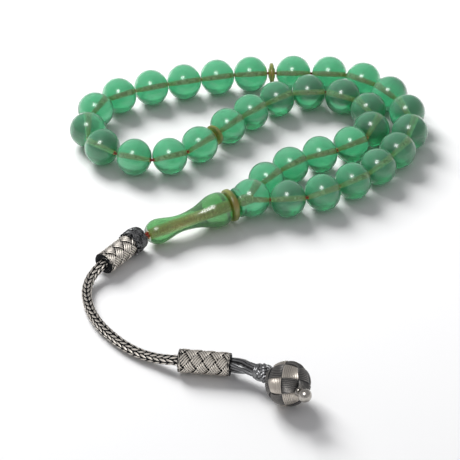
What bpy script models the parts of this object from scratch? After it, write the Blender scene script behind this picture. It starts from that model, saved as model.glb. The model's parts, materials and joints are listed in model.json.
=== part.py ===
"""Misbaha prayer beads: thirty-three beads, two markers, an imame and a silver tassel.

The strand lies on a table. Every piece is built in millimetres and scaled to metres.
+Z is up, the tassel's ball points to -Y, and the origin is on the table, under the
middle of the whole outline.
"""
import math

import bmesh
import bpy
from mathutils import Matrix, Vector

MM = 0.001
UP = Vector((0, 0, 1))
GAP = 0.3                      # working gap between two pieces that touch

# Beads
BEADS_PER_SET = 11
BEAD_RADIUS = 5.0
BEAD_HALF_LENGTH = 4.56        # the beads are a little shorter along the bore
BEAD_FLAT_RADIUS = 1.0         # of the ground flat round each end of the bore
BEAD_SIDES = 12
BEAD_LATITUDES = (7, 42)       # degrees from the bead's equator
BORE_RADIUS = 0.74

# Marker discs after the first and second set of beads
MARKER_RADIUS = 2.9
MARKER_RIM = 0.4
MARKER_HALF_LENGTH = 0.95
MARKER_HUB_RADIUS = 1.3

# Stop bead, spacer disc and imame share one axis, measured from the stop bead's centre
STOP_CENTRE = Vector((0.3, 10.0, 5.05))
STOP_RADIUS = 5.05
STOP_FLAT_RADIUS = 3.0         # of the flat ground round each of its two thread holes
STOP_COLLAR_RADIUS = 3.9
STOP_COLLAR_START = 3.2
STOP_COLLAR_END = 4.6
STRAND_BORE_RADIUS = 1.35      # both thread strands run side by side in it
SPACER_RADIUS = 4.4
SPACER_BOSS_RADIUS = 3.6
SPACER_START = 4.9
SPACER_DISC_START = 5.4
SPACER_END = 7.0
IMAME_TIP = Vector((-26.4, -4.4, 3.4))
# distance from the stop bead's centre, and radius
IMAME_OUTLINE = ((7.3, 3.3), (8.0, 4.1), (9.4, 4.5), (11.4, 4.4), (13.2, 3.8), (15.4, 3.0),
                 (17.8, 2.5), (20.6, 2.25), (23.0, 2.5), (25.2, 3.0), (27.2, 3.3),
                 (28.8, 3.0), (29.8, 2.4), (30.3, 1.9))
IMAME_SIDES = 16

# Thread
THREAD_RADIUS = 0.4
STRAND_OFFSET = 0.55           # half the distance between the two strands in the imame
KNOT_RADIUS = 1.0
STRAND_TURN = -0.2             # how far past the stop bead's centre its wide bore reaches

# The thread's route round the loop, from one hole of the stop bead to the other. It bends
# at these points, and on each straight leg between them one bead or marker is threaded.
LOOP_ROUTE = ((5.2, 9.5), (14.9, 10.3), (23.4, 15.3), (31.2, 21.0), (37.3, 28.5), (42.5, 36.8),
              (44.9, 46.4), (42.0, 56.5), (36.3, 64.9), (27.9, 70.7), (17.6, 71.4), (7.7, 71.5),
              (5.4, 71.4), (-4.1, 70.5), (-13.4, 68.2), (-22.6, 65.6), (-31.6, 62.3),
              (-40.2, 57.2), (-44.0, 47.8), (-43.5, 37.5), (-35.6, 30.9), (-26.0, 27.8),
              (-16.6, 31.7), (-10.1, 39.1), (-8.7, 40.8), (-2.8, 48.1), (3.9, 54.9),
              (11.7, 61.2), (21.6, 61.8), (30.6, 57.0), (35.1, 47.8), (31.6, 38.2),
              (23.3, 32.5), (14.5, 28.7), (7.4, 22.3), (1.6, 14.7))

# Tassel
CAP_RADIUS = 3.1
CAP_TOP_GAP = 0.3              # between the imame's tip and the cap's dome
CAP_HOLE_RADIUS = 2.5          # wide enough for the cap to swing about the knot inside it
CAP_LENGTH = 0.9               # below the dome's centre
SLEEVE_RADIUS = 2.95
SLEEVE_BORE_RADIUS = 1.6
SLEEVE_END_ROUNDING = 0.45
CHAIN_RADIUS = 1.2
CHAIN_SIDES = 8
CHAIN_PIECES = 5               # free pieces between the two sleeves
CHAIN_STEP = 1.8               # length of one straight facet along a chain piece
CHAIN_END_TAPER = 0.25         # length over which a chain piece's near end narrows
CHAIN_PIVOT_INSET = 0.4        # of the first and last pivot from the sleeves' ends
UPPER_SLEEVE_END = Vector((-37.3, -16.3, 2.95))
LOWER_SLEEVE_START = Vector((-17.6, -55.4, 2.95))
LOWER_SLEEVE_END = Vector((-4.9, -57.1, 2.98))
# the chain's route between the two sleeves
CHAIN_ROUTE = ((-39.0, -18.5, 2.5), (-40.3, -20.9, 1.9), (-41.0, -23.8, 1.4),
               (-41.1, -27.2, 1.3), (-40.5, -31.0, 1.3), (-39.5, -34.6, 1.3),
               (-37.9, -38.2, 1.3), (-36.0, -41.4, 1.3), (-33.9, -44.2, 1.3),
               (-31.7, -46.8, 1.3), (-29.3, -49.0, 1.3), (-26.9, -50.8, 1.3),
               (-24.5, -52.2, 1.5), (-22.1, -53.5, 1.9), (-19.9, -54.6, 2.5))
PLY_RADIUS = 0.72
PLY_CLEARANCE = 0.8            # between the lower sleeve's end and the plies
PLY_BUNDLE_START = 1.25        # distance of each ply from the bundle's axis
PLY_BUNDLE_END = 1.02
PLY_TWIST = 50                 # degrees, over the plies' length
PLY_COUNT = 3
PLY_POINTS = 6
SMALL_KNOT_CENTRE = Vector((3.0, -61.5, 3.9))
SMALL_KNOT_RADIUS = 2.3
BALL_CENTRE = Vector((8.6, -67.5, 5.55))
BALL_BORE_DIRECTION = Vector((0.451, -0.852, 0.265))  # through the ball to the end bead
BALL_RADIUS = 5.5
BALL_WALL = 1.2
CORE_RADIUS = 4.0
BALL_BORE_RADIUS = 0.9
WIRE_RADIUS = 0.5
COLLAR_RADIUS = 1.15
COLLAR_LENGTH = 0.7
END_BALL_RADIUS = 1.65

RESIN = ((0.05, 0.42, 0.20, 1), 0.12, 0.0)
OLIVE_RESIN = ((0.16, 0.20, 0.02, 1), 0.2, 0.0)
RED_THREAD = ((0.45, 0.03, 0.02, 1), 0.8, 0.0)
DARK_SILVER = ((0.10, 0.10, 0.11, 1), 0.45, 1.0)
WOVEN_SILVER = ((0.55, 0.50, 0.45, 1), 0.35, 1.0)
POLISHED_SILVER = ((0.75, 0.72, 0.68, 1), 0.15, 1.0)
WOODEN_CORE = ((0.40, 0.25, 0.12, 1), 0.7, 0.0)


def clear_scene():
    for item in list(bpy.data.objects):
        bpy.data.objects.remove(item, do_unlink=True)


def make_material(name, colour, roughness, metallic):
    material = bpy.data.materials.new(name)
    material.use_nodes = True
    shader = material.node_tree.nodes["Principled BSDF"]
    shader.inputs["Base Color"].default_value = colour
    shader.inputs["Roughness"].default_value = roughness
    shader.inputs["Metallic"].default_value = metallic
    material.diffuse_color = colour
    return material


def add_object(name, mesh, look, matrix=None):
    """Link a mesh as an object with a material of its own, placed by a matrix in millimetres."""
    item = bpy.data.objects.new(name, mesh)
    bpy.context.collection.objects.link(item)
    if not mesh.materials:
        mesh.materials.append(None)
    item.material_slots[0].link = "OBJECT"
    item.material_slots[0].material = make_material(name, *look)
    if matrix is not None:
        placed = matrix.copy()
        placed.translation = matrix.translation * MM
        item.matrix_world = placed
    return item


def axis_matrix(origin, direction, level=UP):
    """A frame at origin whose Z runs along direction and whose Y is as level says."""
    z_axis = direction.normalized()
    x_axis = level.cross(z_axis).normalized()
    y_axis = z_axis.cross(x_axis)
    return Matrix.Translation(origin) @ Matrix((x_axis, y_axis, z_axis)).transposed().to_4x4()


def finish_mesh(name, shape, sharp_degrees=50):
    mesh = bpy.data.meshes.new(name)
    bmesh.ops.recalc_face_normals(shape, faces=shape.faces)
    shape.to_mesh(mesh)
    shape.free()
    mesh.shade_smooth()
    mesh.set_sharp_from_angle(angle=math.radians(sharp_degrees))
    return mesh


def turned_mesh(name, outline, sides, closed_ring=False):
    """Turn an outline of (radius, z) pairs about Z, with one facet facing -Y.

    A closed ring joins its last point to its first. Otherwise both ends lie on the axis.
    """
    shape = bmesh.new()
    rings = []
    for radius, height in outline:
        if radius == 0:
            rings.append([shape.verts.new((0, 0, height * MM))])
            continue
        ring = []
        for side in range(sides):
            angle = 2 * math.pi * (side + 0.5) / sides
            ring.append(shape.verts.new((radius * math.cos(angle) * MM,
                                         radius * math.sin(angle) * MM, height * MM)))
        rings.append(ring)
    pairs = list(zip(rings, rings[1:]))
    if closed_ring:
        pairs.append((rings[-1], rings[0]))
    for lower, upper in pairs:
        join_rings(shape, lower, upper, sides)
    return finish_mesh(name, shape)


def join_rings(shape, lower, upper, sides):
    """Close the band between two rings, either of which may be a single point."""
    for side in range(sides):
        after = (side + 1) % sides
        corners = [lower[side % len(lower)], lower[after % len(lower)],
                   upper[after % len(upper)], upper[side % len(upper)]]
        unique = list(dict.fromkeys(corners))
        shape.faces.new(unique)


def swept_mesh(name, centres, radii, sides):
    """A tube through centres with a radius at each, its ends closed flat."""
    shape = bmesh.new()
    rings = []
    for index, centre in enumerate(centres):
        before = centres[max(index - 1, 0)]
        after = centres[min(index + 1, len(centres) - 1)]
        frame = axis_matrix(centre, after - before)
        ring = []
        for side in range(sides):
            angle = 2 * math.pi * (side + 0.5) / sides
            offset = Vector((math.cos(angle), math.sin(angle), 0)) * radii[index]
            ring.append(shape.verts.new((frame @ offset) * MM))
        rings.append(ring)
    for lower, upper in zip(rings, rings[1:]):
        join_rings(shape, lower, upper, sides)
    shape.faces.new(rings[0])
    shape.faces.new(rings[-1])
    return finish_mesh(name, shape)


def smooth_route(points, steps=24):
    """A dense Catmull-Rom curve through the route's points."""
    knots = [Vector(point) for point in points]
    padded = [2 * knots[0] - knots[1]] + knots + [2 * knots[-1] - knots[-2]]
    dense = []
    for index in range(1, len(padded) - 2):
        p0, p1, p2, p3 = padded[index - 1:index + 3]
        for step in range(steps):
            t = step / steps
            dense.append(0.5 * (2 * p1 + (p2 - p0) * t + (2 * p0 - 5 * p1 + 4 * p2 - p3) * t ** 2
                                + (3 * p1 - p0 - 3 * p2 + p3) * t ** 3))
    dense.append(knots[-1])
    return dense


class Route:
    """A smooth curve that is read by the distance along it."""

    def __init__(self, points):
        self.points = smooth_route(points)
        self.marks = [0.0]
        for before, after in zip(self.points, self.points[1:]):
            self.marks.append(self.marks[-1] + (after - before).length)
        self.length = self.marks[-1]

    def leg(self, distance):
        low = 0
        high = len(self.marks) - 2
        while low < high:
            middle = (low + high + 1) // 2
            if self.marks[middle] <= distance:
                low = middle
            else:
                high = middle - 1
        return low

    def at(self, distance):
        index = self.leg(distance)
        span = self.marks[index + 1] - self.marks[index]
        share = (distance - self.marks[index]) / span
        return self.points[index].lerp(self.points[index + 1], share)

    def heading(self, distance, reach):
        ahead = self.at(min(distance + reach, self.length))
        behind = self.at(max(distance - reach, 0))
        return (ahead - behind).normalized()


# ---------------------------------------------------------------- layout of the loop

def loop_points():
    height = bead_rest_height()
    return [Vector((x, y, height)) for x, y in LOOP_ROUTE]


def strand_frames():
    """Kind and frame of the piece on each leg. A frame's Z runs along the thread."""
    points = loop_points()
    frames = []
    for leg, (before, after) in enumerate(zip(points, points[1:])):
        after_a_set = leg % (BEADS_PER_SET + 1) == BEADS_PER_SET
        kind = "marker" if after_a_set else "bead"
        frames.append((kind, axis_matrix((before + after) / 2, after - before)))
    return frames


def bead_rest_height():
    """Height of the bore when a bead rests on the facet at its equator."""
    ring = BEAD_RADIUS * math.cos(math.radians(BEAD_LATITUDES[0]))
    return ring * math.cos(math.pi / BEAD_SIDES)


# ---------------------------------------------------------------- resin pieces

def bead_mesh():
    outline = [(BORE_RADIUS, BEAD_HALF_LENGTH), (BEAD_FLAT_RADIUS, BEAD_HALF_LENGTH)]
    for angle in reversed(BEAD_LATITUDES):
        outline.append((BEAD_RADIUS * math.cos(math.radians(angle)),
                        BEAD_HALF_LENGTH * math.sin(math.radians(angle))))
    outline += [(radius, -height) for radius, height in reversed(outline)]
    return turned_mesh("bead", outline, BEAD_SIDES, closed_ring=True)


def marker_mesh():
    """A lens-shaped disc with a thin rim and a small hub at each side."""
    half = [(BORE_RADIUS, MARKER_HALF_LENGTH), (MARKER_HUB_RADIUS, MARKER_HALF_LENGTH),
            (MARKER_RADIUS - 0.35, MARKER_RIM + 0.2), (MARKER_RADIUS, MARKER_RIM)]
    outline = half + [(radius, -height) for radius, height in reversed(half)]
    return turned_mesh("marker", outline, BEAD_SIDES, closed_ring=True)


def add_beads(frames):
    beads = bead_mesh()
    markers = marker_mesh()
    counts = {"bead": 0, "marker": 0}
    for kind, frame in frames:
        counts[kind] += 1
        if kind == "bead":
            add_object(f"bead_{counts[kind]:02d}", beads, RESIN, frame)
        else:
            add_object(f"marker_disc_{counts[kind]}", markers, OLIVE_RESIN, frame)


def hide_cutter(item):
    item.hide_render = True
    item.display_type = "WIRE"


def cut(item, cutter):
    modifier = item.modifiers.new(cutter.name, "BOOLEAN")
    modifier.operation = "DIFFERENCE"
    modifier.solver = "EXACT"
    modifier.object = cutter
    hide_cutter(cutter)


def stop_bead_holes(axis_frame):
    """Start and mouth of the thread's two holes in the stop bead, and the strand's side."""
    points = loop_points()
    side = axis_frame.to_3x3() @ Vector((STRAND_OFFSET, 0, 0))
    holes = []
    for mouth in (points[0], points[-1]):
        sign = 1 if side.dot(mouth - STOP_CENTRE) > 0 else -1
        holes.append((STOP_CENTRE + sign * side, mouth, sign))
    return holes


def add_stop_bead(axis_frame):
    """A ball with a wide blind bore from the imame's side, and a hole to each strand."""
    outline = [(0, -STOP_RADIUS)]
    for angle in (-62, -36, -10, 14, 39):
        outline.append((STOP_RADIUS * math.cos(math.radians(angle)),
                        STOP_RADIUS * math.sin(math.radians(angle))))
    outline += [(STOP_COLLAR_RADIUS, STOP_COLLAR_START + 0.15),
                (STOP_COLLAR_RADIUS, STOP_COLLAR_END - 0.3),
                (STOP_COLLAR_RADIUS - 0.3, STOP_COLLAR_END),
                (STRAND_BORE_RADIUS, STOP_COLLAR_END), (STRAND_BORE_RADIUS, STRAND_TURN),
                (0, STRAND_TURN)]
    mesh = turned_mesh("stop_bead", outline, IMAME_SIDES)
    item = add_object("stop_bead", mesh, RESIN, axis_frame)
    for number, (start, mouth, _) in enumerate(stop_bead_holes(axis_frame), 1):
        depth = (mouth - start).length - GAP / 2
        outline = [(0, -0.1), (BORE_RADIUS, -0.1), (BORE_RADIUS, depth),
                   (STOP_FLAT_RADIUS, depth), (STOP_FLAT_RADIUS, depth + 2), (0, depth + 2)]
        mesh = turned_mesh(f"stop_bead_hole_{number}", outline, BEAD_SIDES)
        cut(item, add_object(f"stop_bead_hole_{number}", mesh, RESIN,
                             axis_matrix(start, mouth - start)))


def add_spacer(axis_frame):
    outline = [(STRAND_BORE_RADIUS, SPACER_START), (SPACER_BOSS_RADIUS, SPACER_START),
               (SPACER_BOSS_RADIUS, SPACER_DISC_START), (SPACER_RADIUS - 0.3, SPACER_DISC_START),
               (SPACER_RADIUS, SPACER_DISC_START + 0.4), (SPACER_RADIUS, SPACER_END - 0.5),
               (SPACER_RADIUS - 0.4, SPACER_END), (STRAND_BORE_RADIUS, SPACER_END)]
    mesh = turned_mesh("spacer_disc", outline, IMAME_SIDES, closed_ring=True)
    add_object("spacer_disc", mesh, OLIVE_RESIN, axis_frame)


def add_imame(axis_frame):
    outline = [(radius, height) for height, radius in IMAME_OUTLINE]
    outline = ([(STRAND_BORE_RADIUS, IMAME_OUTLINE[0][0])] + outline
               + [(STRAND_BORE_RADIUS, IMAME_OUTLINE[-1][0])])
    mesh = turned_mesh("imame", outline, IMAME_SIDES, closed_ring=True)
    add_object("imame", mesh, RESIN, axis_frame)


# ---------------------------------------------------------------- thread

def thread_points(axis_frame, cap_centre_distance):
    """The thread's route: up one strand, round the loop, and down the other."""
    first_hole, last_hole = stop_bead_holes(axis_frame)
    lower_end = cap_centre_distance - KNOT_RADIUS - GAP

    def strand(sign):
        return [axis_frame @ Vector((sign * STRAND_OFFSET, 0, distance))
                for distance in (lower_end, IMAME_OUTLINE[-1][0], SPACER_START, 0)]

    return strand(first_hole[2]) + loop_points() + strand(last_hole[2])[::-1]


def add_thread(points):
    curve = bpy.data.curves.new("thread", "CURVE")
    curve.dimensions = "3D"
    curve.bevel_depth = THREAD_RADIUS * MM
    curve.bevel_resolution = 2
    curve.render_resolution_u = 0
    curve.use_fill_caps = True
    spline = curve.splines.new("POLY")
    spline.points.add(len(points) - 1)
    for point, place in zip(spline.points, points):
        point.co = (*(place * MM), 1)
    item = bpy.data.objects.new("thread", curve)
    bpy.context.collection.objects.link(item)
    curve.materials.append(make_material("thread", *RED_THREAD))


def ball_outline(radius, latitudes, bore=0.0, centre=0.0):
    """Outline of a ball about Z, open along a bore where one is given."""
    if bore:
        top = math.sqrt(radius ** 2 - bore ** 2)
        outline = [(bore, centre - top)]
    else:
        outline = [(0, centre - radius)]
    for angle in latitudes:
        outline.append((radius * math.cos(math.radians(angle)),
                        centre + radius * math.sin(math.radians(angle))))
    outline.append((bore, centre + top) if bore else (0, centre + radius))
    return outline


# ---------------------------------------------------------------- tassel

def add_cap_and_sleeves(cap_centre):
    """The knitted cap that turns on the thread's knot, and the two woven sleeves."""
    axis = UPPER_SLEEVE_END - cap_centre
    frame = axis_matrix(cap_centre, axis)
    hole_angle = math.degrees(math.acos(CAP_HOLE_RADIUS / CAP_RADIUS))
    outline = []
    for angle in (hole_angle, hole_angle / 2, 0):
        outline.append((CAP_RADIUS * math.cos(math.radians(angle)),
                        -CAP_RADIUS * math.sin(math.radians(angle))))
    outline += [(CAP_RADIUS, CAP_LENGTH), (SLEEVE_BORE_RADIUS, CAP_LENGTH),
                (SLEEVE_BORE_RADIUS, -0.2), ((SLEEVE_BORE_RADIUS + CAP_HOLE_RADIUS) / 2, -1.1)]
    mesh = turned_mesh("tassel_cap", outline, IMAME_SIDES, closed_ring=True)
    add_object("tassel_cap", mesh, DARK_SILVER, frame)
    add_sleeve("woven_sleeve_upper", cap_centre + axis.normalized() * (CAP_LENGTH + GAP),
               UPPER_SLEEVE_END)
    add_sleeve("woven_sleeve_lower", LOWER_SLEEVE_START, LOWER_SLEEVE_END)


def add_sleeve(name, start, end):
    length = (end - start).length
    edge = SLEEVE_END_ROUNDING
    outline = [(SLEEVE_BORE_RADIUS, 0), (SLEEVE_RADIUS - edge, 0), (SLEEVE_RADIUS, edge),
               (SLEEVE_RADIUS, length - edge), (SLEEVE_RADIUS - edge, length),
               (SLEEVE_BORE_RADIUS, length)]
    mesh = turned_mesh(name, outline, IMAME_SIDES, closed_ring=True)
    add_object(name, mesh, WOVEN_SILVER, axis_matrix(start, end - start))


def chain_pivots(route):
    """Distances along the chain where it bends: at both sleeves and evenly between."""
    last = route.length - CHAIN_PIVOT_INSET
    return [CHAIN_PIVOT_INSET + (last - CHAIN_PIVOT_INSET) * index / CHAIN_PIECES
            for index in range(CHAIN_PIECES + 1)]


def chain_piece(name, route, start, end, pivot, dome_ahead):
    """A length of chain, its origin at the pivot it turns about.

    It starts clear of its own pivot, and where it ends at the next one, it ends in a dome
    about that.
    """
    steps = max(2, round((end - start) / CHAIN_STEP))
    centres = [route.at(start + (end - start) * index / steps) for index in range(steps + 1)]
    radii = [CHAIN_RADIUS] * len(centres)
    radii[0] = CHAIN_RADIUS * 0.8
    centres.insert(1, route.at(start + CHAIN_END_TAPER))
    radii.insert(1, CHAIN_RADIUS)
    if dome_ahead:
        heading = route.heading(end, CHAIN_RADIUS / 2)
        for angle in (35, 65):
            reach = CHAIN_RADIUS * math.sin(math.radians(angle))
            centres.append(route.at(end) + heading * reach)
            radii.append(CHAIN_RADIUS * math.cos(math.radians(angle)))
    mesh = swept_mesh(name, centres, radii, CHAIN_SIDES)
    move_origin(mesh, pivot)
    add_object(name, mesh, WOVEN_SILVER, Matrix.Translation(pivot))


def move_origin(mesh, origin):
    for corner in mesh.vertices:
        corner.co -= origin * MM


def add_chain(cap_centre):
    """The chain in seven lengths: one in each sleeve, and the free ones between them."""
    upper_axis = (UPPER_SLEEVE_END - cap_centre).normalized()
    lower_axis = (LOWER_SLEEVE_END - LOWER_SLEEVE_START).normalized()
    upper_top = cap_centre + upper_axis * (KNOT_RADIUS + 2 * GAP)
    lower_bottom = LOWER_SLEEVE_END - lower_axis * GAP
    route = Route([UPPER_SLEEVE_END, *CHAIN_ROUTE, LOWER_SLEEVE_START])
    pivots = chain_pivots(route)
    after_pivot = CHAIN_RADIUS + GAP

    first_pivot = route.at(pivots[0])
    upper = Route([upper_top, (upper_top + first_pivot) / 2, first_pivot])
    chain_piece("chain_1", upper, 0, upper.length, cap_centre, True)
    for index in range(CHAIN_PIECES):
        chain_piece(f"chain_{index + 2}", route, pivots[index] + after_pivot,
                    pivots[index + 1], route.at(pivots[index]), True)
    lower_start = LOWER_SLEEVE_START + lower_axis * (after_pivot - CHAIN_PIVOT_INSET)
    lower = Route([lower_start, (lower_start + lower_bottom) / 2, lower_bottom])
    chain_piece(f"chain_{CHAIN_PIECES + 2}", lower, 0, lower.length, route.at(pivots[-1]), False)


def add_plies():
    """Three cords, slightly twisted together, from the lower sleeve to the small knot."""
    sleeve_axis = (LOWER_SLEEVE_END - LOWER_SLEEVE_START).normalized()
    start = LOWER_SLEEVE_END + sleeve_axis * PLY_CLEARANCE
    to_knot = (SMALL_KNOT_CENTRE - start).normalized()
    end = SMALL_KNOT_CENTRE - to_knot * (SMALL_KNOT_RADIUS + GAP + 0.15)
    frame = axis_matrix(start, end - start)
    length = (end - start).length
    for number in range(1, PLY_COUNT + 1):
        centres = []
        for index in range(PLY_POINTS):
            share = index / (PLY_POINTS - 1)
            spread = PLY_BUNDLE_START + (PLY_BUNDLE_END - PLY_BUNDLE_START) * share
            angle = 2 * math.pi * number / PLY_COUNT + math.radians(PLY_TWIST) * share
            centres.append(frame @ Vector((spread * math.cos(angle), spread * math.sin(angle),
                                           length * share)))
        name = f"cord_ply_{number}"
        mesh = swept_mesh(name, centres, [PLY_RADIUS] * PLY_POINTS, CHAIN_SIDES)
        move_origin(mesh, LOWER_SLEEVE_END)
        add_object(name, mesh, DARK_SILVER, Matrix.Translation(LOWER_SLEEVE_END))


def add_ball():
    """The small knot, and the woven ball with its core, wire, collar and end bead."""
    knot_frame = axis_matrix(SMALL_KNOT_CENTRE, BALL_CENTRE - SMALL_KNOT_CENTRE)
    frame = axis_matrix(BALL_CENTRE, BALL_BORE_DIRECTION)
    mesh = turned_mesh("small_knot", ball_outline(SMALL_KNOT_RADIUS, (-50, -18, 18, 50)),
                       BEAD_SIDES)
    add_object("small_knot", mesh, DARK_SILVER, knot_frame)

    outer = ball_outline(BALL_RADIUS, (-60, -36, -12, 12, 36, 60), BALL_BORE_RADIUS)
    inner = ball_outline(BALL_RADIUS - BALL_WALL, (-50, -18, 18, 50), BALL_BORE_RADIUS)
    mesh = turned_mesh("knot_ball", outer + inner[::-1], IMAME_SIDES, closed_ring=True)
    add_object("knot_ball", mesh, DARK_SILVER, frame)
    core = ball_outline(CORE_RADIUS, (-50, -18, 18, 50), BALL_BORE_RADIUS)
    mesh = turned_mesh("knot_ball_core", core, BEAD_SIDES, closed_ring=True)
    add_object("knot_ball_core", mesh, WOODEN_CORE, frame)

    collar_start = math.sqrt(BALL_RADIUS ** 2 - COLLAR_RADIUS ** 2) + GAP
    wire_end = collar_start - GAP
    wire = [(0, -BALL_RADIUS), (WIRE_RADIUS, -BALL_RADIUS), (WIRE_RADIUS, wire_end),
            (0, wire_end)]
    add_object("end_wire", turned_mesh("end_wire", wire, CHAIN_SIDES), DARK_SILVER, frame)
    collar_end = collar_start + COLLAR_LENGTH
    collar = [(0, collar_start), (COLLAR_RADIUS, collar_start),
              (COLLAR_RADIUS, collar_end - 0.2), (COLLAR_RADIUS - 0.2, collar_end),
              (0, collar_end)]
    mesh = turned_mesh("end_collar", collar, BEAD_SIDES)
    add_object("end_collar", mesh, DARK_SILVER, frame)
    centre = collar_end + GAP + END_BALL_RADIUS
    mesh = turned_mesh("end_ball", ball_outline(END_BALL_RADIUS, (-54, -18, 18, 54),
                                                centre=centre), BEAD_SIDES)
    add_object("end_ball", mesh, POLISHED_SILVER, frame)


def main():
    clear_scene()
    frames = strand_frames()
    add_beads(frames)
    imame_axis = IMAME_TIP - STOP_CENTRE
    axis_frame = axis_matrix(STOP_CENTRE, imame_axis)
    add_stop_bead(axis_frame)
    add_spacer(axis_frame)
    add_imame(axis_frame)
    cap_distance = IMAME_OUTLINE[-1][0] + CAP_TOP_GAP + CAP_RADIUS
    cap_centre = axis_frame @ Vector((0, 0, cap_distance))
    add_thread(thread_points(axis_frame, cap_distance))
    mesh = turned_mesh("thread_knot", ball_outline(KNOT_RADIUS, (-40, 0, 40)), CHAIN_SIDES)
    add_object("thread_knot", mesh, RED_THREAD, Matrix.Translation(cap_centre))
    add_cap_and_sleeves(cap_centre)
    add_chain(cap_centre)
    add_plies()
    add_ball()


main()
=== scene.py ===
"""Misbaha prayer beads: the looks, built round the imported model.

Sizes are in millimetres, and MM turns them into metres. Places come from the frame's boxes
and joints, or repeat the routes of the part.
"""

import json
import math

import bpy
import numpy as np
from mathutils import Matrix, Vector


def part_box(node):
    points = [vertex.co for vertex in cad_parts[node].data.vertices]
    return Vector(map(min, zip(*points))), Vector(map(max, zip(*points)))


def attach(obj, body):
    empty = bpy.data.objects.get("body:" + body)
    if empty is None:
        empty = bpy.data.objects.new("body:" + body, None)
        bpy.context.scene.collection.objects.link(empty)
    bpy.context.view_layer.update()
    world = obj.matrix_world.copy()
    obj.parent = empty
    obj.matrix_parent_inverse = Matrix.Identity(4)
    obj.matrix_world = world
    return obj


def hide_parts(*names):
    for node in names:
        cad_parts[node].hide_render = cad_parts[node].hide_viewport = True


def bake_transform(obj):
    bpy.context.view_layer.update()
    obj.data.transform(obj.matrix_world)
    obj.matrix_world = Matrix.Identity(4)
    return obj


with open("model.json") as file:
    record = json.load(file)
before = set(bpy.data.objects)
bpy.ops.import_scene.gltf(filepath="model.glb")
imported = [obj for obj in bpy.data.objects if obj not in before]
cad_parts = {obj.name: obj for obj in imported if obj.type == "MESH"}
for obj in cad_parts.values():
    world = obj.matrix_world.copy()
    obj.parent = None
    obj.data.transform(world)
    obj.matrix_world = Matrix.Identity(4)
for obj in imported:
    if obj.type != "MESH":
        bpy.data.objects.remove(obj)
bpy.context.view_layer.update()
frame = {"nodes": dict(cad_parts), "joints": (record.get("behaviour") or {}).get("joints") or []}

MM = 0.001
UP = np.array((0.0, 0.0, 1.0))
SHARP_ANGLE = math.radians(40)

# Camera: the middle of its view on the table, its height angle, distance and lens
LOOK_AT = Vector((-5.15, 2.9, -0.21))
CAMERA_ELEVATION = 35.71
CAMERA_DISTANCE = 669.6
SENSOR_WIDTH = 36
LENS = 201.1
TABLE_LEVEL = -0.21
LIGHT_DISTANCE = 900

# Resin
BEAD_RADIUS = 5.0
BEAD_LENGTHS = (4.5, 4.88)      # shortest and longest half-length along the bore
BEAD_CLEARANCE = 0.03
BEAD_COUNT = 33
# the drilled bores as they look through the resin, which are narrower than the part's
BORE_RADIUS = 0.52
STOP_RADIUS = 5.05
STRAND_BORE_RADIUS = 1.02
STOP_CENTRE = np.array((0.3, 10.0, 5.05))
IMAME_TIP = np.array((-26.4, -4.4, 3.4))
# distance from the stop bead's centre, and radius
IMAME_OUTLINE = ((7.3, 3.3), (7.6, 3.85), (8.3, 4.3), (9.4, 4.5), (11.4, 4.4), (13.2, 3.8),
                 (15.4, 3.0), (17.8, 2.5), (20.6, 2.25), (23.0, 2.5), (25.2, 3.0), (27.2, 3.3),
                 (28.8, 3.0), (29.8, 2.4), (30.3, 1.9))
STRAND_OFFSET = 0.55
KNOT_GAP = 1.3

# The thread's bends round the loop, from one hole of the stop bead to the other
LOOP_ROUTE = ((5.2, 9.5), (14.9, 10.3), (23.4, 15.3), (31.2, 21.0), (37.3, 28.5), (42.5, 36.8),
              (44.9, 46.4), (42.0, 56.5), (36.3, 64.9), (27.9, 70.7), (17.6, 71.4), (7.7, 71.5),
              (5.4, 71.4), (-4.1, 70.5), (-13.4, 68.2), (-22.6, 65.6), (-31.6, 62.3),
              (-40.2, 57.2), (-44.0, 47.8), (-43.5, 37.5), (-35.6, 30.9), (-26.0, 27.8),
              (-16.6, 31.7), (-10.1, 39.1), (-8.7, 40.8), (-2.8, 48.1), (3.9, 54.9),
              (11.7, 61.2), (21.6, 61.8), (30.6, 57.0), (35.1, 47.8), (31.6, 38.2),
              (23.3, 32.5), (14.5, 28.7), (7.4, 22.3), (1.6, 14.7))

# Tassel
CAP_RADIUS = 3.1
CAP_LENGTH = 0.9
SLEEVE_RADIUS = 2.95
UPPER_SLEEVE_END = np.array((-37.3, -16.3, 2.95))
LOWER_SLEEVE_START = np.array((-17.6, -55.4, 2.95))
LOWER_SLEEVE_END = np.array((-4.9, -57.1, 2.98))
# the chain's route between the two sleeves
CHAIN_ROUTE = ((-39.0, -18.5, 2.5), (-40.3, -20.9, 1.9), (-41.0, -23.8, 1.4),
               (-41.1, -27.2, 1.3), (-40.5, -31.0, 1.3), (-39.5, -34.6, 1.3),
               (-37.9, -38.2, 1.3), (-36.0, -41.4, 1.3), (-33.9, -44.2, 1.3),
               (-31.7, -46.8, 1.3), (-29.3, -49.0, 1.3), (-26.9, -50.8, 1.3),
               (-24.5, -52.2, 1.5), (-22.1, -53.5, 1.9), (-19.9, -54.6, 2.5))
STITCH_PITCH = 1.85
STITCH_LENGTH = 3.1
SMALL_KNOT_CENTRE = np.array((3.0, -61.5, 3.9))
SMALL_KNOT_RADIUS = 2.3
BALL_CENTRE = np.array((8.6, -67.5, 5.55))
BALL_BORE_DIRECTION = np.array((0.451, -0.852, 0.265))
BALL_RADIUS = 5.5
END_BALL_RADIUS = 1.67


# ---------------------------------------------------------------- camera, floor and light

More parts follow.
